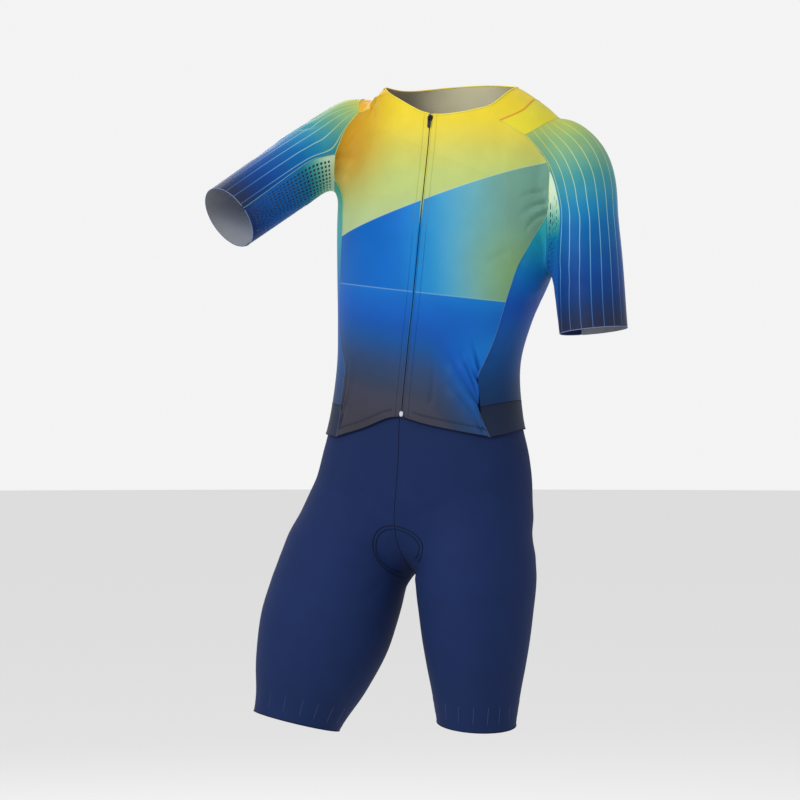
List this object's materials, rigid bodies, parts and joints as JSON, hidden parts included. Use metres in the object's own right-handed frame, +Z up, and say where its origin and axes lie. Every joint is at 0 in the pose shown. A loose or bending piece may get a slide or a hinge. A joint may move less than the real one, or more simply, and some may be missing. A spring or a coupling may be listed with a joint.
{
  "type": "triathlon suit",
  "caption": "Short-sleeved triathlon suit in a worn pose, one arm raised, with a full front zip, jersey hem over attached shorts, open neck, cuffs and legs.",
  "frame": {"origin": "neck base, on the wearer's middle, level with the front of the shoulders", "axes": "+X towards the wearer's left, -Y towards the wearer's front, +Z up"},
  "size_m": [0.5838, 0.3718, 0.9755],
  "materials": {
    "front_cloth": "fine printed stretch knit, slight sheen",
    "back_cloth": "fine printed stretch knit, slight sheen",
    "side_cloth": "fine printed stretch knit, slight sheen",
    "band_cloth": "smooth stretch knit",
    "yoke_cloth": "smooth printed stretch knit",
    "sleeve_cloth": "stretch knit with fine lengthwise stripes",
    "sleeve_mesh": "open knit with small round holes",
    "zip_tape": "woven tape",
    "zip_teeth": "moulded coil",
    "zip_metal": "satin black",
    "zip_stop": "bright satin",
    "shorts_cloth": "matt stretch knit"
  },
  "bodies": {
    "suit": {"front_left": "front_cloth", "front_right": "front_cloth", "back": "back_cloth", "side_panel_left": "side_cloth", "side_panel_right": "side_cloth", "hem_band": "band_cloth", "yoke_left": "yoke_cloth", "yoke_right": "yoke_cloth", "sleeve_left": "sleeve_cloth", "sleeve_right": "sleeve_cloth", "sleeve_mesh_left": "sleeve_mesh", "sleeve_mesh_right": "sleeve_mesh", "zip_tape_left": "zip_tape", "zip_tape_right": "zip_tape", "zip_coil": "zip_teeth", "zip_slider": "zip_metal", "zip_retainer": "zip_stop", "short_left": "shorts_cloth", "short_right": "shorts_cloth"},
    "pull_tab": {"zip_pull": "zip_metal"}
  },
  "joints": [
    {"name": "pull_tab_hinge", "type": "hinge", "parent": "suit", "child": "pull_tab", "pos_m": [0.00775, -0.09118, -0.04208], "axis": [-0.9952, -0.0403, -0.0894], "range_deg": [0, 150]}
  ]
}
